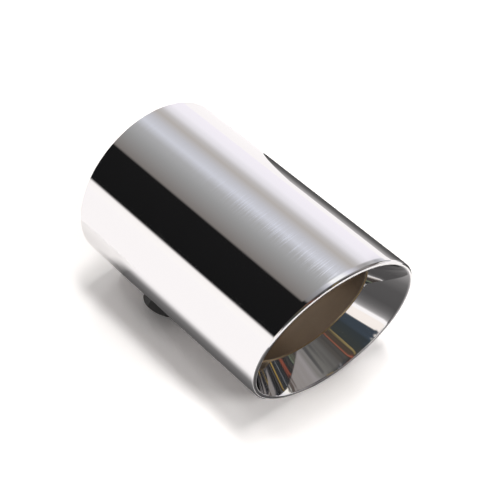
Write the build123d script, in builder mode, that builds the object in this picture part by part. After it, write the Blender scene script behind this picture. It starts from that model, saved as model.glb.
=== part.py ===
from build123d import *
from math import acos, atan, atan2, cos, degrees, hypot, radians, sin, sqrt, tan
import os

# Exhaust tip: a polished round shell with a slanted mouth, slipped over a car's tail pipe
# and held there by a clamp screw. It lies on its side and leans on the screw's head.
# Millimetres. Tube axis along Y, mouth towards -Y, table at z = 0.

# Outer shell
shell_radius = 44.5
shell_wall = 1.2
overall_length = 138.0      # rear edge to the foremost point of the lip
slash_angle = 10.7          # slant of the mouth
lip_width = 2.2             # rolled lip, across
lip_fill = 0.97             # share of the lip's width that its two rounds take up
throat_depth = 17.4         # mouth to the inner end of the polished throat, on the axis
collar_length = 6.0         # turned inner edge that holds the sleeve
spanner_hole_radius = 12.0
edge_break = 0.4            # deburred sheet edges

# Inner sleeve, for a 63.5 mm tail pipe
bore_radius = 33.0
sleeve_wall = 1.0
sleeve_setback = 2.5        # rear edge of the shell to the sleeve's end
sleeve_edge_break = 0.4
entry_chamfer = 0.7
screw_hole_radius = 5.6

# Rear ring
ring_wall = 1.2
ring_setback = 4.0          # rear edge of the shell to the ring's face
ring_shoulder = 0.27        # share of the ring's width that each bevelled shoulder takes up
ring_outer_flange = 9.0
ring_inner_flange = 7.0

# Clamp screw M10 and its weld nut
thread_radius = 5.0
thread_clearance = 0.05
hex_flats = 17.0
hex_sides = 6
hex_turn = 30.0             # sets two flats square to the tube's axis
head_height = 6.4
head_projection = 4.8       # how far the screw's head stands out of the shell
head_gap = 0.9              # nut to the underside of the head
head_bevel = 30.0
screw_setback = 39.5        # rear edge of the shell to the screw's axis
tip_setback = 0.4           # screw's tip to the bore that the pipe slides in
screw_tip_bevel = 1.0
bore_bevel = 0.6            # countersink of the nut's thread

# Gap left at the welded joints
seam = 0.05

# Radii that follow
mouth_radius = shell_radius - lip_width
shell_bore = shell_radius - shell_wall
sleeve_radius = bore_radius + sleeve_wall
throat_radius = sleeve_radius + seam
hex_corner = hex_flats / sqrt(3)
flat_radius = hex_flats / 2

# Radius that rounds the lip on both sides, set by its long side, where it has least room
slant = radians(slash_angle)
throat_drop = mouth_radius - throat_radius
throat_rise = atan(throat_drop / (throat_depth + throat_drop * tan(slant)))
outer_corner = radians(90) - slant
inner_corner = radians(90) + slant + throat_rise
lip_room = lip_width / cos(slant)
lip_round = lip_fill * lip_room / (1 / tan(outer_corner / 2) + 1 / tan(inner_corner / 2))

# Length on the axis, from the rear edge to the plane that touches the lip's front
lip_centre = shell_radius - lip_round
axis_length = overall_length - lip_centre * tan(slant) + lip_round * (1 / cos(slant) - 1)

# Heights above the tube's axis of the clamp screw and of the nut
head_reach = shell_radius + head_projection
head_seat = head_reach - head_height
nut_top = head_seat - head_gap
screw_tip = bore_radius + tip_setback

# The shell lies on its lowest line and one bevelled corner of the screw's head touches
# the table: this is the angle from the screw to straight down.
corner_drop = (hex_corner - flat_radius) * tan(radians(head_bevel))
corner_reach = head_reach - corner_drop
lean = degrees(atan2(hex_corner, corner_reach) + acos(shell_radius / hypot(hex_corner, corner_reach)))

# Planes. On rear_plane, z runs along the tube to the mouth, and x points to the mouth's
# long side, opposite the screw.
rear_plane = Plane(
    origin=(0, overall_length / 2, shell_radius),
    x_dir=(sin(radians(lean)), 0, cos(radians(lean))),
    z_dir=(0, -1, 0),
)
tube_axis = Axis(rear_plane.origin, rear_plane.z_dir)
section_plane = Plane(rear_plane.location * Location((0, 0, 0), (90, 0, 0)))
screw_plane = Plane(rear_plane.location * Location((0, 0, screw_setback), (0, -90, 0)))
screw_axis = Axis(screw_plane.origin, screw_plane.z_dir)


def slanted_plane(distance):
    """Plane parallel to the mouth that crosses the axis this far from the rear edge."""
    return Plane(rear_plane.location * Location((0, 0, distance), (0, -slash_angle, 0)))


def slanted_circle(radius):
    """The oval that a slanted plane cuts from a round tube."""
    return Ellipse(radius / cos(slant), radius)


rim_plane = slanted_plane(axis_length)
fold_plane = slanted_plane(axis_length - lip_round / cos(slant))
throat_plane = slanted_plane(axis_length - throat_depth)
collar_plane = slanted_plane(axis_length - throat_depth - collar_length)
past_the_mouth = overall_length + shell_radius

# Sheet thickness of the throat, measured square to the tube's axis
throat_wall = shell_wall / cos(throat_rise)

# Throat and collar without their bore, which stand in the hollow of the shell
with BuildPart() as throat_core:
    with BuildSketch(rear_plane):
        Circle(throat_radius + shell_wall)
    extrude(amount=past_the_mouth)
    split(bisect_by=throat_plane, keep=Keep.BOTTOM)
    split(bisect_by=collar_plane, keep=Keep.TOP)
    with BuildSketch(rim_plane):
        slanted_circle(mouth_radius + throat_wall)
    with BuildSketch(throat_plane):
        slanted_circle(throat_radius + throat_wall)
    loft()

# Space inside the shell, behind the rolled lip
with BuildPart() as hollow:
    with BuildSketch(rear_plane):
        Circle(shell_bore)
    extrude(amount=past_the_mouth)
    split(bisect_by=fold_plane, keep=Keep.BOTTOM)
    add(throat_core.part, mode=Mode.SUBTRACT)

# Outer shell: one tube, cut at a slant, its mouth rolled in to the lip and the throat
with BuildPart() as outer_shell:
    with BuildSketch(rear_plane):
        Circle(shell_radius)
    extrude(amount=past_the_mouth)
    split(bisect_by=rim_plane, keep=Keep.BOTTOM)
    with BuildSketch(rim_plane):
        slanted_circle(mouth_radius)
    with BuildSketch(throat_plane):
        slanted_circle(throat_radius)
    loft(mode=Mode.SUBTRACT)
    fillet(outer_shell.faces().sort_by(tube_axis)[-1].edges(), radius=lip_round)
    add(hollow.part, mode=Mode.SUBTRACT)
    with BuildSketch(rear_plane):
        Circle(throat_radius)
    extrude(amount=past_the_mouth, mode=Mode.SUBTRACT)
    chamfer(outer_shell.faces().sort_by(tube_axis)[0].edges(), length=edge_break)
    with BuildSketch(screw_plane):
        Circle(spanner_hole_radius)
    extrude(amount=shell_radius + shell_wall, mode=Mode.SUBTRACT)

# Inner sleeve: straight tube, cut at the same slant as the mouth
with BuildPart() as inlet_sleeve:
    with BuildSketch(rear_plane.offset(sleeve_setback)):
        Circle(sleeve_radius)
        Circle(bore_radius, mode=Mode.SUBTRACT)
    extrude(amount=past_the_mouth)
    split(bisect_by=throat_plane, keep=Keep.BOTTOM)
    chamfer(inlet_sleeve.faces().sort_by(tube_axis)[-1].edges(), length=sleeve_edge_break)
    sleeve_rear = inlet_sleeve.faces().sort_by(tube_axis)[0]
    chamfer(sleeve_rear.edges().sort_by(SortBy.RADIUS)[0], length=entry_chamfer)
    with BuildSketch(screw_plane):
        Circle(screw_hole_radius)
    extrude(amount=shell_radius, mode=Mode.SUBTRACT)

# Rear ring: pressed channel that holds the sleeve in the middle of the shell
ring_outer = shell_bore - seam
ring_inner = sleeve_radius + seam
ring_middle = (ring_outer + ring_inner) / 2
ring_span = ring_outer - ring_inner
ring_bevel = ring_span * ring_shoulder
channel_span = ring_span - 2 * ring_wall
channel_bevel = ring_bevel - ring_wall * (2 - sqrt(2))
with BuildPart() as rear_ring:
    with BuildSketch(section_plane) as ring_section:
        with Locations((ring_middle, ring_setback)):
            Rectangle(ring_span, ring_outer_flange, align=(Align.CENTER, Align.MIN))
        chamfer(ring_section.vertices().group_by(Axis.Y)[0], length=ring_bevel)
        with BuildSketch(mode=Mode.SUBTRACT) as channel:
            with Locations((ring_middle, ring_setback + ring_wall)):
                Rectangle(channel_span, ring_outer_flange, align=(Align.CENTER, Align.MIN))
            chamfer(channel.vertices().group_by(Axis.Y)[0], length=channel_bevel)
        with Locations((ring_inner, ring_setback + ring_inner_flange)):
            Rectangle(ring_wall, ring_outer_flange, align=Align.MIN, mode=Mode.SUBTRACT)
    revolve(axis=tube_axis)

# Weld nut: its foot is fitted to the round of the sleeve
with BuildPart() as clamp_nut:
    with BuildSketch(screw_plane):
        RegularPolygon(flat_radius, hex_sides, major_radius=False, rotation=hex_turn)
        Circle(thread_radius + thread_clearance, mode=Mode.SUBTRACT)
    extrude(amount=nut_top)
    chamfer(clamp_nut.edges().filter_by(GeomType.CIRCLE).sort_by(screw_axis)[-1], length=bore_bevel)
    with BuildSketch(rear_plane):
        Circle(sleeve_radius)
    extrude(amount=past_the_mouth, mode=Mode.SUBTRACT)

# Clamp screw: hexagon head with bevelled corners, plain shank in place of the thread
bevel_spread = head_height / tan(radians(head_bevel))
with BuildPart() as clamp_screw:
    with BuildSketch(screw_plane.offset(head_seat)):
        RegularPolygon(flat_radius, hex_sides, major_radius=False, rotation=hex_turn)
    extrude(amount=head_height)
    with Locations(screw_plane.offset(head_seat + head_height / 2)):
        Cone(flat_radius + bevel_spread, flat_radius, head_height, mode=Mode.INTERSECT)
    with BuildSketch(screw_plane.offset(screw_tip)):
        Circle(thread_radius)
    extrude(amount=head_seat - screw_tip)
    chamfer(clamp_screw.edges().sort_by(screw_axis)[0], length=screw_tip_bevel)

pieces = {
    "outer_shell": outer_shell,
    "inlet_sleeve": inlet_sleeve,
    "rear_ring": rear_ring,
    "clamp_nut": clamp_nut,
    "clamp_screw": clamp_screw,
}
os.makedirs("parts", exist_ok=True)
for name, piece in pieces.items():
    piece.part.label = name
    export_step(piece.part, f"parts/{name}.step")
print(f"axis length {axis_length:.2f} mm, lean {lean:.2f} degrees")
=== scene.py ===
from math import atan, atan2, cos, pi, radians, sin, sqrt, tan

import bmesh
import bpy
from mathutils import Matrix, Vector


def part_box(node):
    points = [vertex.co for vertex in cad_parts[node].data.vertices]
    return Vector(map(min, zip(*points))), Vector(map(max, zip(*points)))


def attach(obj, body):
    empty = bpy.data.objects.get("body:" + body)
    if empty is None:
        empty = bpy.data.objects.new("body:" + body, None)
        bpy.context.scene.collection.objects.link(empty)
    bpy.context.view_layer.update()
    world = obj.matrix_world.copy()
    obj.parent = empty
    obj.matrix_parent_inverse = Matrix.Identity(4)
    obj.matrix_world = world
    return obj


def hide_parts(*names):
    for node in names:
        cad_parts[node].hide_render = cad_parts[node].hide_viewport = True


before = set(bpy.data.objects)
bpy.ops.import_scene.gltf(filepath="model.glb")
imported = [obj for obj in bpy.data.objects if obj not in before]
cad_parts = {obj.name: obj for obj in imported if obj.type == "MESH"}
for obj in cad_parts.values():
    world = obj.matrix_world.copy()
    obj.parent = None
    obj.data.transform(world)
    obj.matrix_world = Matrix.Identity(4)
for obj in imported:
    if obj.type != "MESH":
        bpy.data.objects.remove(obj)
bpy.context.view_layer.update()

# An exhaust tip of polished steel, lying on a white table. Metres.
# A point of the tube is given by its radius, its distance from the rear edge and its turn
# round the axis, which is 0 on the mouth's long side and a half turn at the clamp screw.
mm = 0.001

# Shell, sleeve, ring and screw, placed by the frame
shell_low, shell_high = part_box("outer_shell")
sleeve_low, sleeve_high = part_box("inlet_sleeve")
ring_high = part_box("rear_ring")[1]
shell_radius = (shell_high.z - shell_low.z) / 2
axis_height = shell_low.z + shell_radius
rear_edge = shell_high.y
overall_length = shell_high.y - shell_low.y
sleeve_radius = (sleeve_high.z - sleeve_low.z) / 2
sleeve_setback = rear_edge - sleeve_high.y
ring_setback = rear_edge - ring_high.y
screw_vertices = [vertex.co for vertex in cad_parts["clamp_screw"].data.vertices]
screw_middle = sum(screw_vertices, Vector()) / len(screw_vertices)
screw_setback = rear_edge - screw_middle.y
screw_side = Vector((screw_middle.x, 0, screw_middle.z - axis_height)).normalized()
long_side = -screw_side
cross_side = long_side.cross(Vector((0, 1, 0)))

# Sheet, mouth, throat, holes and ring
shell_wall = 1.2 * mm
slant = radians(10.7)
lip_width = 2.2 * mm
lip_fill = 0.97
throat_depth = 17.4 * mm
collar_length = 6.0 * mm
spanner_hole_radius = 12.0 * mm
spanner_hole_break = 0.25 * mm
edge_break = 0.4 * mm
sleeve_wall = 1.0 * mm
sleeve_edge_break = 0.4 * mm
entry_chamfer = 0.7 * mm
screw_hole_radius = 5.6 * mm
screw_hole_break = 0.2 * mm
seam = 0.05 * mm
ring_wall = 1.2 * mm
ring_bevel = 2.5 * mm
ring_bend = 0.5 * mm
ring_outer_flange = 9.0 * mm
ring_inner_flange = 7.0 * mm

mouth_radius = shell_radius - lip_width
shell_bore = shell_radius - shell_wall
throat_radius = sleeve_radius + seam
bore_radius = sleeve_radius - sleeve_wall
throat_drop = mouth_radius - throat_radius
throat_rise = atan(throat_drop / (throat_depth + throat_drop * tan(slant)))
throat_wall = shell_wall / cos(throat_rise)
outer_corner = radians(90) - slant
inner_corner = radians(90) + slant + throat_rise
lip_room = lip_width / cos(slant)
lip_round = lip_fill * lip_room / (1 / tan(outer_corner / 2) + 1 / tan(inner_corner / 2))
lip_centre = shell_radius - lip_round
axis_length = overall_length - lip_centre * tan(slant) + lip_round * (1 / cos(slant) - 1)

# The shell draws in gently over its last few millimetres, and the lip's rounds share what is left
rim_draw = 0.1 * mm
rim_draw_length = 3.2 * mm
rim_draw_round = 40 * mm
rim_round = lip_round * (lip_width - rim_draw) / lip_width

# Fineness of the meshes: round the tube, along an arc, and from a hole's patch to its rim
COLUMNS = 360
ROUND_STEPS = 12
HOLE_RINGS = 4
SHARP_ANGLE = radians(20)


def tube_point(turn, radius, distance):
    """Place of a point of the tube."""
    outward = long_side * cos(turn) + cross_side * sin(turn)
    return Vector((0, rear_edge - distance, axis_height)) + outward * radius


def rounded_outline(corners):
    """Closed line through (radius, distance, rounding, steps) corners, as [(radius, distance)].

    A corner with a rounding becomes an arc. The run to the next corner is cut into that many steps."""
    arcs = []
    for index, (radius, distance, rounding, _) in enumerate(corners):
        corner = Vector((radius, distance))
        if rounding == 0:
            arcs.append([corner])
            continue
        before = Vector(corners[index - 1][:2]) - corner
        after = Vector(corners[(index + 1) % len(corners)][:2]) - corner
        before.normalize()
        after.normalize()
        half = before.angle(after) / 2
        centre = corner + (before + after).normalized() * (rounding / sin(half))
        start = corner + before * (rounding / tan(half)) - centre
        end = corner + after * (rounding / tan(half)) - centre
        sweep = start.angle_signed(end)
        first = atan2(start.y, start.x)
        angles = [first - sweep * k / ROUND_STEPS for k in range(ROUND_STEPS + 1)]
        arcs.append([centre + rounding * Vector((cos(angle), sin(angle))) for angle in angles])
    outline = []
    for index, arc in enumerate(arcs):
        outline += arc
        steps = corners[index][3]
        target = arcs[(index + 1) % len(arcs)][0]
        for k in range(1, steps):
            outline.append(arc[-1].lerp(target, k / steps))
    return outline


def slanted(distance, radius, turn):
    """Distance from the rear edge at which a plane parallel to the mouth meets this radius."""
    return distance + radius * cos(turn) * tan(slant)


def tube_mesh(name, section, hole=None):
    """Closed ring-shaped mesh. section(turn) gives the outline at a turn round the axis."""
    vertices, faces, columns = [], [], []
    for column in range(COLUMNS):
        turn = 2 * pi * column / COLUMNS
        ids = []
        for radius, distance in section(turn):
            ids.append(len(vertices))
            vertices.append(tube_point(turn, radius, distance))
        columns.append(ids)
    rows = len(columns[0])
    cut = hole_cells(hole) if hole else set()
    for column in range(COLUMNS):
        here, there = columns[column], columns[(column + 1) % COLUMNS]
        for row in range(rows):
            if (column, row) not in cut:
                after = (row + 1) % rows
                faces.append((here[row], here[after], there[after], there[row]))
    if hole:
        close_hole(hole, columns, vertices, faces)
    mesh = bpy.data.meshes.new(name)
    mesh.from_pydata(vertices, [], faces)
    mesh.validate()
    clean_up(mesh)
    piece = bpy.data.objects.new(name, mesh)
    bpy.context.scene.collection.objects.link(piece)
    return piece


def clean_up(mesh):
    """Drops loose points, turns the faces outwards and shades the mesh smooth up to its sharp edges."""
    work = bmesh.new()
    work.from_mesh(mesh)
    loose = [vertex for vertex in work.verts if not vertex.link_faces]
    bmesh.ops.delete(work, geom=loose, context="VERTS")
    bmesh.ops.recalc_face_normals(work, faces=work.faces)
    work.to_mesh(mesh)
    work.free()
    mesh.shade_smooth()
    mesh.set_sharp_from_angle(angle=SHARP_ANGLE)


def hole_cells(hole):
    """Cells of the two walls that a hole's patches stand in for."""
    cells = set()
    for _, _, near, far in hole["walls"]:
        for column in range(hole["first_column"], hole["last_column"]):
            for row in range(min(near, far), max(near, far)):
                cells.add((column, row))
    return cells


def patch_loop(hole, columns, near, far):
    """Points round a wall's patch, from its row near the rear edge to its far row and back."""
    left, right = hole["first_column"], hole["last_column"]
    step = 1 if near < far else -1
    loop = [columns[column][near] for column in range(left, right)]
    loop += [columns[right][row] for row in range(near, far, step)]
    loop += [columns[column][far] for column in range(right, left, -1)]
    loop += [columns[left][row] for row in range(far, near, -step)]
    return loop


def from_screw_axis(place):
    """Distances of a point from the axis of the screw, along the tube and across it."""
    along = rear_edge - place.y - screw_setback
    across = (place - Vector((0, place.y, axis_height))).dot(cross_side)
    return Vector((along, across))


def wall_point(radius, along, across):
    """Point of a round wall, placed by its distances from the axis of the screw."""
    outward = screw_side * sqrt(radius ** 2 - across ** 2) + cross_side * across
    return Vector((0, rear_edge - screw_setback - along, axis_height)) + outward


def add_ring(ring, radius, spots, vertices, faces):
    """Adds a ring of points on a round wall, joined to the ring before it."""
    ids = []
    for along, across in spots:
        ids.append(len(vertices))
        vertices.append(wall_point(radius, along, across))
    join(ring, ids, faces)
    return ids


def close_hole(hole, columns, vertices, faces):
    """Fills a patch of the outer and of the inner wall up to a round hole, and joins the two rims."""
    angles = None
    rims = []
    for radius, rim_rise, near, far in hole["walls"]:
        ring = patch_loop(hole, columns, near, far)
        flat = [from_screw_axis(vertices[vertex]) for vertex in ring]
        if angles is None:
            angles = [atan2(point.y, point.x) for point in flat]
        edge = hole["radius"] + hole["break"]
        brink = [Vector((edge * cos(angle), edge * sin(angle))) for angle in angles]
        for step in range(1, HOLE_RINGS + 1):
            spots = [point.lerp(target, step / HOLE_RINGS) for point, target in zip(flat, brink)]
            ring = add_ring(ring, radius, spots, vertices, faces)
        rim = [(hole["radius"] * cos(angle), hole["radius"] * sin(angle)) for angle in angles]
        rims.append(add_ring(ring, radius + rim_rise, rim, vertices, faces))
    join(rims[0], rims[1], faces)


def join(one, other, faces):
    """Band of faces between two rings of as many points."""
    count = len(one)
    for index in range(count):
        after = (index + 1) % count
        faces.append((one[index], one[after], other[after], other[index]))


def add_piece(piece, node, material):
    """Puts a finished mesh in the place of a node of the frame."""
    piece.data.materials.append(material)
    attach(piece, "root")
    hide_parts(node)


# Nodes that the materials and the studio share

def new_material(name):
    material = bpy.data.materials.new(name)
    material.use_nodes = True
    return material, material.node_tree.nodes, material.node_tree.links


def new_steel(name, metallic=1.0):
    """New material, with its shader."""
    material, nodes, links = new_material(name)
    shader = nodes["Principled BSDF"]
    shader.inputs["Metallic"].default_value = metallic
    return material, nodes, links, shader


def new_stage_material(name):
    """New material without a shader, with the input of its surface."""
    material, nodes, links = new_material(name)
    nodes.remove(nodes["Principled BSDF"])
    return material, nodes, links, nodes["Material Output"].inputs["Surface"]


def coordinates(nodes, kind="Object"):
    """Place on the object in metres, or Generated for the direction in the world."""
    return nodes.new("ShaderNodeTexCoord").outputs[kind]


def axes_of(nodes, links, vector):
    """X, Y and Z of a vector."""
    axes = nodes.new("ShaderNodeSeparateXYZ")
    links.new(vector, axes.inputs["Vector"])
    return axes.outputs


def soft_noise(nodes, links, vector, scale, detail):
    noise = nodes.new("ShaderNodeTexNoise")
    noise.inputs["Scale"].default_value = scale
    noise.inputs["Detail"].default_value = detail
    links.new(vector, noise.inputs["Vector"])
    return noise.outputs["Fac"]


def grain(nodes, links, scales, detail=3.0):
    """Noise with a scale of its own for each axis: x and z lie across the tube, y along it."""
    mapping = nodes.new("ShaderNodeMapping")
    mapping.inputs["Scale"].default_value = scales
    links.new(coordinates(nodes), mapping.inputs["Vector"])
    return soft_noise(nodes, links, mapping.outputs["Vector"], 1.0, detail)


def ranged(nodes, links, value, low, high, from_low=0.3, from_high=0.7):
    """Value spread between low and high. Most noise lies between 0.3 and 0.7."""
    spread = nodes.new("ShaderNodeMapRange")
    spread.inputs["From Min"].default_value = from_low
    spread.inputs["From Max"].default_value = from_high
    spread.inputs["To Min"].default_value = low
    spread.inputs["To Max"].default_value = high
    links.new(value, spread.inputs["Value"])
    return spread.outputs["Result"]


def calculated(nodes, links, operation, first, second):
    """Result of a sum; second is a number or an output."""
    node = nodes.new("ShaderNodeMath")
    node.operation = operation
    links.new(first, node.inputs[0])
    if isinstance(second, (int, float)):
        node.inputs[1].default_value = second
    else:
        links.new(second, node.inputs[1])
    return node.outputs["Value"]


def mixed(nodes, links, share, first, second):
    """Colour between two, each of them a colour or an output."""
    mix = nodes.new("ShaderNodeMix")
    mix.data_type = "RGBA"
    links.new(share, mix.inputs["Factor"])
    for name, colour in (("A", first), ("B", second)):
        if isinstance(colour, tuple):
            mix.inputs[name].default_value = (*colour, 1)
        else:
            links.new(colour, mix.inputs[name])
    return mix.outputs["Result"]


def mixed_shaders(nodes, links, share, first, second):
    mix = nodes.new("ShaderNodeMixShader")
    links.new(share, mix.inputs["Fac"])
    links.new(first, mix.inputs[1])
    links.new(second, mix.inputs[2])
    return mix.outputs["Shader"]


def ramp(nodes, links, value, stops):
    """Colour of a value, from its stops as (place, colour)."""
    blend = nodes.new("ShaderNodeValToRGB")
    links.new(value, blend.inputs["Fac"])
    elements = blend.color_ramp.elements
    while len(elements) < len(stops):
        elements.new(0.5)
    for element, (place, colour) in zip(elements, stops):
        element.position = place
        element.color = (*colour, 1)
    return blend.outputs["Color"]


def press(nodes, links, shader, height, strength, depth):
    """Presses a height into the surface of a shader."""
    bump = nodes.new("ShaderNodeBump")
    bump.inputs["Strength"].default_value = strength
    bump.inputs["Distance"].default_value = depth
    links.new(height, bump.inputs["Height"])
    links.new(bump.outputs["Normal"], shader.inputs["Normal"])


# Materials. A grain is its scale along x, y and z, per metre. A press is its strength and its depth.

POLISHED = (0.88, 0.877, 0.88)
POLISHED_ROUGHNESS = (0.03, 0.06)
POLISHED_PATCHES = (60, 90, 60)
WHEEL_LINES = (40, 5000, 40)
WHEEL_PRESS = (0.03, 0.02 * mm)

# Fine scratches along the top, lightened and tinted bluish as a painted highlight and kept to the band
# where
# the highlight lies: the turns from straight up towards +X between which they come and go, and the stretch
# of y over which they thin out to what is left
SCRATCH_AND_HIGHLIGHT = (0.95, 0.96, 1.0)
SCRATCH_ROUGHNESS = 0.16
SCRATCH_GRAIN = (45, 1600, 45)
SCRATCH_DETAIL = 4.0
SCRATCH_CUT = (0.5, 0.62)
SCRATCHES_RISE = (radians(-16), radians(-8))
SCRATCHES_FALL = (radians(-4), radians(3))
SCRATCHES_THIN = (-10 * mm, 30 * mm)
SCRATCHES_LEFT = 0.2


def polished_steel():
    """Mirror finish with faint lines round the tube, left by the polishing wheel, and scratches that carry
    a painted highlight.
    """
    material, nodes, links, shader = new_steel("polished_steel")
    axes = axes_of(nodes, links, coordinates(nodes))
    height = calculated(nodes, links, "SUBTRACT", axes["Z"], axis_height)
    turn = calculated(nodes, links, "ARCTAN2", axes["X"], height)
    noise = grain(nodes, links, SCRATCH_GRAIN, SCRATCH_DETAIL)
    scratches_and_highlight = ranged(nodes, links, noise, 0.0, 1.0, *SCRATCH_CUT)
    limits = (
        ranged(nodes, links, turn, 0.0, 1.0, *SCRATCHES_RISE),
        ranged(nodes, links, turn, 1.0, 0.0, *SCRATCHES_FALL),
        ranged(nodes, links, axes["Y"], 1.0, SCRATCHES_LEFT, *SCRATCHES_THIN),
    )
    for limit in limits:
        scratches_and_highlight = calculated(nodes, links, "MULTIPLY", scratches_and_highlight, limit)
    # The scratches' lighter, bluish colour is a painted highlight on real scratches
    links.new(mixed(nodes, links, scratches_and_highlight, POLISHED, SCRATCH_AND_HIGHLIGHT), shader.inputs["Base Color"])
    worn = ranged(nodes, links, scratches_and_highlight, 0.0, SCRATCH_ROUGHNESS, 0.0, 1.0)
    smooth = ranged(nodes, links, grain(nodes, links, POLISHED_PATCHES), *POLISHED_ROUGHNESS)
    links.new(calculated(nodes, links, "ADD", smooth, worn), shader.inputs["Roughness"])
    press(nodes, links, shader, grain(nodes, links, WHEEL_LINES), *WHEEL_PRESS)
    return material


SATIN_DARK = (0.56, 0.50, 0.43)
SATIN_LIGHT = (0.68, 0.61, 0.53)
SATIN_ROUGHNESS = (0.3, 0.42)
SATIN_PATCHES = (45, 30, 45)
ROLLED_LINES = (900, 30, 900)
ROLLED_PRESS = (0.2, 0.05 * mm)

# The straw tint fades out over this stretch behind the sleeve's end
STRAW = (0.50, 0.36, 0.19)
STRAW_FADE = (0.2 * mm, 0.4 * mm)


def satin_steel():
    """Sheet as rolled, with fine lines along the tube and a brownish tint, straw on the sleeve's end."""
    material, nodes, links, shader = new_steel("satin_steel")
    sheet = mixed(nodes, links, grain(nodes, links, SATIN_PATCHES), SATIN_DARK, SATIN_LIGHT)
    # This product is the same all over a plane that is slanted as the sleeve's end is
    reach = nodes.new("ShaderNodeVectorMath")
    reach.operation = "DOT_PRODUCT"
    reach.inputs[1].default_value = (tan(slant) * long_side.x, 1.0, tan(slant) * long_side.z)
    links.new(coordinates(nodes), reach.inputs[0])
    sleeve_end = rear_edge - axis_length + throat_depth + tan(slant) * axis_height * long_side.z
    fade = [sleeve_end + distance for distance in STRAW_FADE]
    burnt = ranged(nodes, links, reach.outputs["Value"], 1.0, 0.0, *fade)
    links.new(mixed(nodes, links, burnt, sheet, STRAW), shader.inputs["Base Color"])
    lines = grain(nodes, links, ROLLED_LINES)
    links.new(ranged(nodes, links, lines, *SATIN_ROUGHNESS), shader.inputs["Roughness"])
    press(nodes, links, shader, lines, *ROLLED_PRESS)
    return material


OXIDE_DARK = (0.008, 0.008, 0.008)
OXIDE_LIGHT = (0.02, 0.02, 0.02)
OXIDE_ROUGHNESS = (0.35, 0.55)
OXIDE_PATCHES = (400, 400, 400)
OXIDE_PRESS = (0.15, 0.05 * mm)


def black_steel():
    """Black oxide finish, rubbed a little lighter in places."""
    material, nodes, links, shader = new_steel("black_steel", metallic=0.0)
    patches = grain(nodes, links, OXIDE_PATCHES)
    rubbed = ranged(nodes, links, patches, 0.0, 1.0)
    links.new(mixed(nodes, links, rubbed, OXIDE_DARK, OXIDE_LIGHT), shader.inputs["Base Color"])
    links.new(ranged(nodes, links, patches, *OXIDE_ROUGHNESS), shader.inputs["Roughness"])
    press(nodes, links, shader, patches, *OXIDE_PRESS)
    return material


# Outer shell. Its hole is cut from a patch that reaches this far from the screw's axis.

SHELL_PATCH_REACH = 16 * mm
SHELL_PATCH_ROWS = 30
SHELL_PATCH_HALF_COLUMNS = 22


def shell_section(turn):
    """Section of the shell: outside, rolled lip, throat, collar and inside."""
    fold = axis_length - lip_round / cos(slant)
    throat = axis_length - throat_depth
    collar = throat - collar_length
    share = (axis_length - fold) / throat_depth
    fold_radius = mouth_radius + throat_wall - share * throat_drop
    patch_start = screw_setback - SHELL_PATCH_REACH
    patch_end = screw_setback + SHELL_PATCH_REACH
    rim_radius = shell_radius - rim_draw
    draw_start = slanted(axis_length, shell_radius, turn) - rim_draw_length

    def at(distance, radius):
        return radius, slanted(distance, radius, turn)

    return rounded_outline([
        (shell_radius - edge_break, 0, 0, 1),
        (shell_radius, edge_break, 0, 6),
        (shell_radius, patch_start, 0, SHELL_PATCH_ROWS),
        (shell_radius, patch_end, 0, 12),
        (shell_radius, draw_start, rim_draw_round, 3),
        (*at(axis_length, rim_radius), rim_round, 1),
        (*at(axis_length, mouth_radius), rim_round, 8),
        (*at(throat, throat_radius), 0, 2),
        (*at(collar, throat_radius), 0, 1),
        (*at(collar, throat_radius + shell_wall), 0, 2),
        (*at(throat, throat_radius + shell_wall), 0, 4),
        (*at(fold, fold_radius), 0, 1),
        (*at(fold, shell_bore), 0, 8),
        (shell_bore, patch_end, 0, SHELL_PATCH_ROWS),
        (shell_bore, patch_start, 0, 4),
        (shell_bore, edge_break, 0, 1),
        (shell_bore + edge_break, 0, 0, 1),
    ])


def corner_row(section, radius, distance):
    """Row of a section's point, found by its place."""
    points = section(pi)
    gaps = [abs(point[0] - radius) + abs(point[1] - distance) for point in points]
    return gaps.index(min(gaps))


def screw_hole(section, outer_radius, inner_radius, hole_radius, hole_break, reach, half_columns):
    """Hole on the screw's axis, with the rows and columns of the patches that it is cut from."""
    walls = []
    for radius, rim_rise in ((outer_radius, -hole_break), (inner_radius, hole_break)):
        near = corner_row(section, radius, screw_setback - reach)
        far = corner_row(section, radius, screw_setback + reach)
        walls.append((radius, rim_rise, near, far))
    return {
        "radius": hole_radius,
        "break": hole_break,
        "walls": walls,
        "first_column": COLUMNS // 2 - half_columns,
        "last_column": COLUMNS // 2 + half_columns,
    }


def make_outer_shell(material):
    hole = screw_hole(shell_section, shell_radius, shell_bore, spanner_hole_radius, spanner_hole_break,
                      SHELL_PATCH_REACH, SHELL_PATCH_HALF_COLUMNS)
    piece = tube_mesh("shell_skin", shell_section, hole)
    add_piece(piece, "outer_shell", material)


# Inner sleeve

SLEEVE_PATCH_REACH = 8 * mm
SLEEVE_PATCH_ROWS = 16
SLEEVE_PATCH_HALF_COLUMNS = 14


def sleeve_section(turn):
    """Section of the sleeve, a straight tube that ends at the slant of the throat."""
    throat = axis_length - throat_depth
    outer_end = slanted(throat, sleeve_radius, turn)
    inner_end = slanted(throat, bore_radius, turn)
    patch_start = screw_setback - SLEEVE_PATCH_REACH
    patch_end = screw_setback + SLEEVE_PATCH_REACH
    return rounded_outline([
        (bore_radius + entry_chamfer, sleeve_setback, 0, 1),
        (sleeve_radius, sleeve_setback, 0, 8),
        (sleeve_radius, patch_start, 0, SLEEVE_PATCH_ROWS),
        (sleeve_radius, patch_end, 0, 12),
        (sleeve_radius, outer_end - sleeve_edge_break, 0, 1),
        (sleeve_radius - sleeve_edge_break, outer_end, 0, 1),
        (bore_radius + sleeve_edge_break, inner_end, 0, 1),
        (bore_radius, inner_end - sleeve_edge_break, 0, 12),
        (bore_radius, patch_end, 0, SLEEVE_PATCH_ROWS),
        (bore_radius, patch_start, 0, 8),
        (bore_radius, sleeve_setback + entry_chamfer, 0, 1),
    ])


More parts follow.
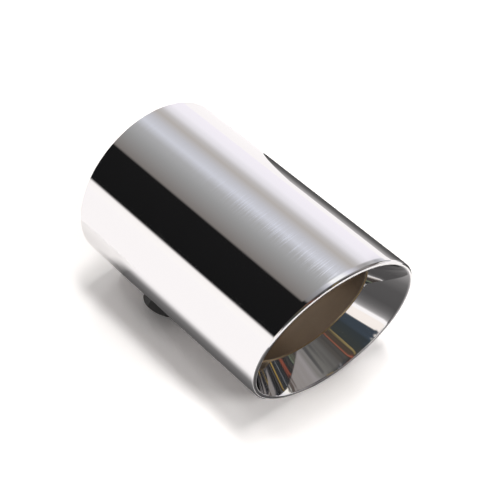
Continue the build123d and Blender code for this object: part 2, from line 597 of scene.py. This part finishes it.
def make_inlet_sleeve(material):
    hole = screw_hole(sleeve_section, sleeve_radius, bore_radius, screw_hole_radius, screw_hole_break,
                      SLEEVE_PATCH_REACH, SLEEVE_PATCH_HALF_COLUMNS)
    piece = tube_mesh("sleeve_tube", sleeve_section, hole)
    add_piece(piece, "inlet_sleeve", material)


# Rear ring

def ring_section(turn):
    """Pressed channel, the same at each turn: a flange on the shell, a face and a flange on the sleeve."""
    outer = shell_bore - seam
    inner = sleeve_radius + seam
    face = ring_setback + ring_wall
    channel_bevel = ring_bevel - ring_wall * (2 - sqrt(2))
    return rounded_outline([
        (inner, ring_setback + ring_bevel, ring_bend, 1),
        (inner + ring_bevel, ring_setback, ring_bend, 4),
        (outer - ring_bevel, ring_setback, ring_bend, 1),
        (outer, ring_setback + ring_bevel, ring_bend, 4),
        (outer, ring_setback + ring_outer_flange, 0, 1),
        (outer - ring_wall, ring_setback + ring_outer_flange, 0, 4),
        (outer - ring_wall, face + channel_bevel, ring_bend, 1),
        (outer - ring_wall - channel_bevel, face, ring_bend, 4),
        (inner + ring_wall + channel_bevel, face, ring_bend, 1),
        (inner + ring_wall, face + channel_bevel, ring_bend, 3),
        (inner + ring_wall, ring_setback + ring_inner_flange, 0, 1),
        (inner, ring_setback + ring_inner_flange, 0, 3),
    ])


def make_rear_ring(material):
    piece = tube_mesh("ring_channel", ring_section)
    add_piece(piece, "rear_ring", material)


# Studio: a white table, soft lamps, painted reflections, and what the polished steel mirrors

TABLE_HALF = 3.0
TABLE_WHITE = (0.97, 0.935, 0.92)
TABLE_SEEN = (1.18, 1.145, 1.125)


def flat_sheet(name, corners, height, material):
    """Level sheet of the studio."""
    mesh = bpy.data.meshes.new(name)
    mesh.from_pydata([(x, y, height) for x, y in corners], [], [(0, 1, 2, 3)])
    mesh.materials.append(material)
    sheet = bpy.data.objects.new(name, mesh)
    bpy.context.scene.collection.objects.link(sheet)
    return sheet


def white_table():
    """White table top that keeps the shadow. The camera sees it a little paler than the tip does."""
    material, nodes, links, surface = new_stage_material("table_white")
    path = nodes.new("ShaderNodeLightPath")
    white = nodes.new("ShaderNodeBsdfDiffuse")
    colour = mixed(nodes, links, path.outputs["Is Camera Ray"], TABLE_WHITE, TABLE_SEEN)
    links.new(colour, white.inputs["Color"])
    links.new(white.outputs["BSDF"], surface)
    corners = [(x * TABLE_HALF, y * TABLE_HALF) for x, y in ((-1, -1), (1, -1), (1, 1), (-1, 1))]
    table = flat_sheet("table", corners, 0, material)


# Soft lamps as (name, tilt from straight up, turn from +X towards +Y, spread, strength), in degrees
SOFT_LAMPS = [
    ("high_front", 9, -60, 9, 0.82),
    ("high_side", 9, 0, 9, 0.73),
    ("high_back", 29, 108, 12, 0.30),
    ("side_window", 58, 36, 20, 0.43),
    ("front_window", 58, -72, 20, 1.12),
]


def soft_lamps():
    for name, tilt, turn, spread, strength in SOFT_LAMPS:
        lamp = bpy.data.lights.new(name, "SUN")
        lamp.angle = radians(spread)
        lamp.energy = strength
        place = bpy.data.objects.new(name, lamp)
        tilt, turn = radians(tilt), radians(turn)
        towards = Vector((sin(tilt) * cos(turn), sin(tilt) * sin(turn), cos(tilt)))
        place.rotation_euler = towards.to_track_quat("Z", "Y").to_euler()
        place.visible_glossy = False
        bpy.context.scene.collection.objects.link(place)


# Painted reflections: glowing sheets on the table that only the polished steel mirrors. They paint shade,
# the table's shadow and the white table into the steel. In mm: each has its name, its height, its corners,
# its brightness by the share of the way from the first corner's x to the third's, and the stretch of y
# over which it fades out.
FAR = 2900
PAINTED_REFLECTIONS = [
    # Painted shade in the steel's reflection, to the right of the tube
    ("painted_side_shade", 0.05, [(96, 84), (96, -110), (390, -110), (390, 216)],
     [(0.0, 0.052), (0.08, 0.065), (0.26, 0.113), (0.39, 0.174), (0.56, 0.27), (0.76, 0.365), (1.0, 0.45)],
     None),
    # Painted shade in the steel's reflection of the table in front of the mouth
    ("painted_front_shade", 0.05, [(60, -42), (60, -90), (-230, -185), (-230, -95)],
     [(0.0, 0.43), (0.10, 0.26), (0.14, 0.14), (0.19, 0.087), (0.3, 0.078), (0.42, 0.13), (0.75, 0.35),
      (1.0, 0.8)],
     None),
    # Painted reflection of the table's shadow beside the tube, seen on the shell's underside
    ("painted_table_shadow", 0.05, [(-30, 76), (-30, -55), (-80, -64), (-80, 76)],
     [(0.0, 0.087), (0.24, 0.104), (0.40, 0.143), (0.48, 0.165), (0.56, 0.26), (0.64, 0.43), (0.72, 0.63),
      (0.78, 0.79), (0.84, 0.88), (1.0, 0.94)],
     (60, 74)),
    # Painted reflection of the white table far to either side
    ("painted_left_white", 0.03, [(-80, FAR), (-80, -FAR), (-FAR, -FAR), (-FAR, FAR)],
     [(0.0, 0.94), (1.0, 0.95)],
     None),
    ("painted_right_white", 0.03, [(96, FAR), (96, -FAR), (FAR, -FAR), (FAR, FAR)],
     [(0.0, 0.92), (1.0, 0.93)],
     None),
]
PAINTED_REFLECTION_TINT = (1.0, 0.965, 0.965)
PAINTED_REFLECTION_STRENGTH = 1.15


def painted_reflection_material(name, first_x, last_x, shades, fade):
    """Glow of a painted reflection, which changes along x and, where there is a fade, thins out along y.
    """
    material, nodes, links, surface = new_stage_material(name)
    axes = axes_of(nodes, links, coordinates(nodes))
    share = ranged(nodes, links, axes["X"], 0.0, 1.0, first_x * mm, last_x * mm)
    stops = [(place, [level * part for part in PAINTED_REFLECTION_TINT]) for place, level in shades]
    glow = nodes.new("ShaderNodeEmission")
    glow.inputs["Strength"].default_value = PAINTED_REFLECTION_STRENGTH
    links.new(ramp(nodes, links, share, stops), glow.inputs["Color"])
    seen = glow.outputs["Emission"]
    if fade:
        clear = nodes.new("ShaderNodeBsdfTransparent")
        thin = ranged(nodes, links, axes["Y"], 0.0, 1.0, fade[0] * mm, fade[1] * mm)
        seen = mixed_shaders(nodes, links, thin, seen, clear.outputs["BSDF"])
    links.new(seen, surface)
    return material


def make_painted_reflections():
    # Each sheet glows to paint shade or white into the polished steel's reflection
    for name, height, corners, shades, fade in PAINTED_REFLECTIONS:
        material = painted_reflection_material(name, corners[0][0], corners[2][0], shades, fade)
        painted_sheet = flat_sheet(name, [(x * mm, y * mm) for x, y in corners], height * mm, material)
        for use in ("camera", "diffuse", "shadow", "transmission", "volume_scatter"):
            setattr(painted_sheet, "visible_" + use, False)


# What surrounds the tube, by the angle from the left horizon up over the top, in degrees: beside the
# tube, at its rim, on the lip, in front of the mouth, and straight ahead
SIDE_ZONES = [
    (-180, (0.92, 0.88, 0.945)),
    (0, (1.0, 0.965, 0.95)),
    (8, (0.98, 0.94, 0.925)),
    (10.5, (0.008, 0.008, 0.0083)),
    (62, (0.0095, 0.0093, 0.0096)),
    (64.5, (0.198, 0.18, 0.17)),
    (87, (0.31, 0.31, 0.31)),
    (102, (0.41, 0.41, 0.42)),
    (113, (0.62, 0.63, 0.69)),
    (124, (0.54, 0.54, 0.58)),
    (136, (0.46, 0.43, 0.41)),
    (143, (0.52, 0.5, 0.5)),
    (151, (0.76, 0.74, 0.78)),
    (162, (0.9, 0.87, 0.93)),
    (180, (0.92, 0.88, 0.945)),
]
RIM_ZONES = [
    (-180, (0.68, 0.67, 0.72)),
    (-150, (0.92, 0.88, 0.945)),
    (0, (1.0, 0.965, 0.95)),
    (8, (0.98, 0.94, 0.925)),
    (10.5, (0.008, 0.008, 0.0083)),
    (64, (0.0095, 0.0093, 0.0096)),
    (66.5, (0.198, 0.189, 0.189)),
    (86, (0.33, 0.33, 0.35)),
    (96, (0.59, 0.59, 0.64)),
    (102, (0.945, 0.945, 0.945)),
    (114, (0.945, 0.945, 0.945)),
    (126, (0.66, 0.66, 0.74)),
    (140, (0.38, 0.36, 0.36)),
    (150, (0.34, 0.33, 0.33)),
    (160, (0.47, 0.46, 0.47)),
    (168, (0.38, 0.38, 0.4)),
    (180, (0.68, 0.67, 0.72)),
]
LIP_ZONES = [
    (-180, (0.34, 0.33, 0.34)),
    (-150, (0.57, 0.55, 0.57)),
    (0, (0.92, 0.87, 0.85)),
    (10, (0.57, 0.53, 0.51)),
    (14, (0.076, 0.066, 0.057)),
    (56, (0.085, 0.076, 0.061)),
    (66, (0.09, 0.082, 0.075)),
    (76, (0.095, 0.095, 0.104)),
    (92, (0.189, 0.189, 0.22)),
    (100, (0.36, 0.36, 0.39)),
    (130, (0.3, 0.3, 0.32)),
    (146, (0.113, 0.113, 0.113)),
    (160, (0.057, 0.057, 0.057)),
    (172, (0.142, 0.142, 0.142)),
    (180, (0.34, 0.33, 0.34)),
]
FRONT_ZONES = [
    (-180, (0.68, 0.66, 0.71)),
    (-90, (0.28, 0.27, 0.27)),
    (-60, (0.123, 0.113, 0.104)),
    (-16, (0.142, 0.132, 0.123)),
    (-4, (0.945, 0.88, 0.832)),
    (14, (0.945, 0.87, 0.822)),
    (18, (0.047, 0.061, 0.08)),
    (32, (0.036, 0.043, 0.047)),
    (46, (0.043, 0.047, 0.043)),
    (48, (0.38, 0.28, 0.113)),
    (50, (0.047, 0.047, 0.038)),
    (55, (0.085, 0.057, 0.043)),
    (58, (0.4, 0.123, 0.076)),
    (61, (0.057, 0.047, 0.038)),
    (70, (0.08, 0.073, 0.066)),
    (82, (0.104, 0.099, 0.095)),
    (94, (0.142, 0.137, 0.128)),
    (108, (0.189, 0.18, 0.17)),
    (118, (0.29, 0.27, 0.27)),
    (134, (0.26, 0.24, 0.23)),
    (148, (0.27, 0.25, 0.24)),
    (152, (0.104, 0.08, 0.071)),
    (161, (0.095, 0.085, 0.08)),
    (164, (0.945, 0.91, 0.85)),
    (180, (0.68, 0.66, 0.71)),
]
AHEAD_ZONES = [
    (-180, (0.33, 0.31, 0.31)),
    (-90, (0.85, 0.83, 0.81)),
    (-10, (0.066, 0.057, 0.052)),
    (16, (0.066, 0.057, 0.052)),
    (22, (0.2, 0.24, 0.16)),
    (26, (0.028, 0.031, 0.036)),
    (44, (0.07, 0.065, 0.06)),
    (50, (0.03, 0.03, 0.03)),
    (57, (0.4, 0.11, 0.066)),
    (61, (0.03, 0.03, 0.03)),
    (76, (0.045, 0.05, 0.055)),
    (79, (0.26, 0.26, 0.27)),
    (83, (0.03, 0.033, 0.037)),
    (93, (0.06, 0.06, 0.06)),
    (96, (0.5, 0.33, 0.08)),
    (99, (0.02, 0.02, 0.02)),
    (108, (0.14, 0.13, 0.13)),
    (113, (0.015, 0.015, 0.015)),
    (127, (0.045, 0.045, 0.05)),
    (140, (0.12, 0.11, 0.11)),
    (180, (0.33, 0.31, 0.31)),
]

# Bands of the studio from beside the tube to straight ahead: the zones, the stretch over which they
# take over from the band before, as the y of the direction, and whether they are wavy
STUDIO_BANDS = [
    (SIDE_ZONES, None, False),
    (RIM_ZONES, (0.44, 0.415), False),
    (LIP_ZONES, (0.34, 0.25), False),
    (FRONT_ZONES, (0.10, -0.03), True),
    (AHEAD_ZONES, (-0.48, -0.53), True),
]
WAVE_SCALE = 7.0
WAVE_DETAIL = 1.5
WAVE_REACH = 0.02

# Dark blots in front of the mouth: their share by the same angle, and their look
BLOTS = [(-180, 0.0), (64, 0.0), (72, 1.0), (112, 1.0), (120, 0.6), (128, 0.0)]
BLOT_COLOUR = (0.045, 0.046, 0.048)
BLOT_SCALE = 3.4
BLOT_DETAIL = 1.0
BLOT_DENSITY = 0.75
BLOT_CUT = (0.50, 0.56)


def round_stops(zones):
    """Stops of a ramp that goes once round, from zones by their angle."""
    return [((angle + 180) / 360, colour) for angle, colour in zones]


def blotted(nodes, links, colour, direction, share):
    """Darkens a colour in soft blots."""
    noise = soft_noise(nodes, links, direction, BLOT_SCALE, BLOT_DETAIL)
    shape = ranged(nodes, links, noise, 0.0, BLOT_DENSITY, *BLOT_CUT)
    greys = [(angle, (level, level, level)) for angle, level in BLOTS]
    here = ramp(nodes, links, share, round_stops(greys))
    return mixed(nodes, links, calculated(nodes, links, "MULTIPLY", shape, here), colour, BLOT_COLOUR)


def mirrored_colours(nodes, links):
    """Colour of the studio in each direction."""
    direction = coordinates(nodes, "Generated")
    axes = axes_of(nodes, links, direction)
    left = calculated(nodes, links, "MULTIPLY", axes["X"], -1.0)
    roll = calculated(nodes, links, "ARCTAN2", axes["Z"], left)
    share = ranged(nodes, links, roll, 0.0, 1.0, -pi, pi)
    noise = soft_noise(nodes, links, direction, WAVE_SCALE, WAVE_DETAIL)
    wavy = calculated(nodes, links, "ADD", share, ranged(nodes, links, noise, -WAVE_REACH, WAVE_REACH))
    result = None
    for zones, change, has_waves in STUDIO_BANDS:
        colour = ramp(nodes, links, wavy if has_waves else share, round_stops(zones))
        if zones is FRONT_ZONES:
            colour = blotted(nodes, links, colour, direction, share)
        if result is None:
            result = colour
        else:
            start, end = change
            arrived = ranged(nodes, links, axes["Y"], 1.0, 0.0, end, start)
            result = mixed(nodes, links, arrived, result, colour)
    return result


ROOM_STRENGTH = 0.27
STUDIO_STRENGTH = 1.1
BACKDROP_STRENGTH = 1.0


def background(nodes, strength):
    """White background of a strength."""
    shade = nodes.new("ShaderNodeBackground")
    shade.inputs["Color"].default_value = (1, 1, 1, 1)
    shade.inputs["Strength"].default_value = strength
    return shade


def studio_world():
    """The camera sees white, the polished steel the studio, and all else a dim room."""
    world = bpy.data.worlds.new("studio")
    bpy.context.scene.world = world
    world.use_nodes = True
    nodes, links = world.node_tree.nodes, world.node_tree.links
    nodes.clear()
    path = nodes.new("ShaderNodeLightPath").outputs
    room = background(nodes, ROOM_STRENGTH).outputs["Background"]
    backdrop = background(nodes, BACKDROP_STRENGTH).outputs["Background"]
    studio = background(nodes, STUDIO_STRENGTH)
    links.new(mirrored_colours(nodes, links), studio.inputs["Color"])
    around = mixed_shaders(nodes, links, path["Is Glossy Ray"], room, studio.outputs["Background"])
    output = nodes.new("ShaderNodeOutputWorld")
    seen = mixed_shaders(nodes, links, path["Is Camera Ray"], around, backdrop)
    links.new(seen, output.inputs["Surface"])


CAMERA_PLACE = (-300.87 * mm, -340.68 * mm, 555.54 * mm)
CAMERA_ELEVATION = radians(48.05)
CAMERA_YAW = radians(41.76)
FOCAL_LENGTH = 104.4
SENSOR_WIDTH = 36.0


def make_camera():
    """Looks down on the tip from the left front."""
    lens = bpy.data.cameras.new("camera")
    lens.lens = FOCAL_LENGTH
    lens.sensor_width = SENSOR_WIDTH
    camera = bpy.data.objects.new("camera", lens)
    camera.location = CAMERA_PLACE
    camera.rotation_euler = (pi / 2 - CAMERA_ELEVATION, 0, -CAMERA_YAW)
    bpy.context.scene.collection.objects.link(camera)
    bpy.context.scene.camera = camera


# The tip. Its nut and screw keep their CAD shape.

polished, satin, black = polished_steel(), satin_steel(), black_steel()
make_outer_shell(polished)
make_inlet_sleeve(satin)
make_rear_ring(satin)
for node, material in (("clamp_nut", satin), ("clamp_screw", black)):
    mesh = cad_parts[node].data
    mesh.materials.clear()
    mesh.materials.append(material)

white_table()
soft_lamps()
make_painted_reflections()
studio_world()
make_camera()
bpy.context.scene.view_settings.view_transform = "Standard"
